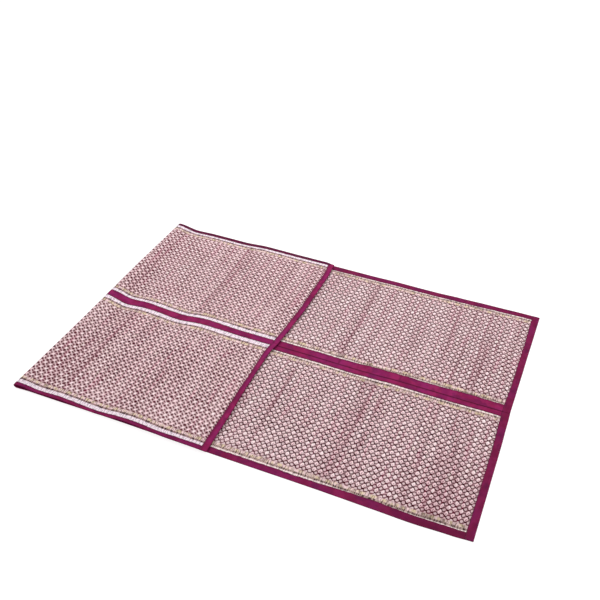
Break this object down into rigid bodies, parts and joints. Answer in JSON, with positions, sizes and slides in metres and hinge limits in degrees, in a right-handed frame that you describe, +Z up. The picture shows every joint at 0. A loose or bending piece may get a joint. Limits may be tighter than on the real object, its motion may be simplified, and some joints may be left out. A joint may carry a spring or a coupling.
{
  "type": "woven grass mat",
  "caption": "Floor mat of woven grass with cloth-bound edges, lying flat with one end folded over onto itself.",
  "frame": {"origin": "centre of the mat's box, on the surface that the mat lies on", "axes": "+X along the mat from the fold to the single-layer end, +Y across it, +Z up"},
  "size_m": [1.2545, 0.9228, 0.0231],
  "materials": {
    "woven_grass": "matte split grass with a slight sheen",
    "cotton_tape": "matte plain-woven cotton"
  },
  "bodies": {
    "root": {"woven_panel_far": "woven_grass", "woven_panel_near": "woven_grass", "outer_tape_far": "cotton_tape", "outer_tape_near": "cotton_tape", "inner_tape_far": "cotton_tape", "inner_tape_near": "cotton_tape", "right_end_tape_far": "cotton_tape", "right_end_tape_near": "cotton_tape", "flap_end_tape_far": "cotton_tape", "flap_end_tape_near": "cotton_tape", "joining_tape": "cotton_tape"}
  },
  "joints": []
}
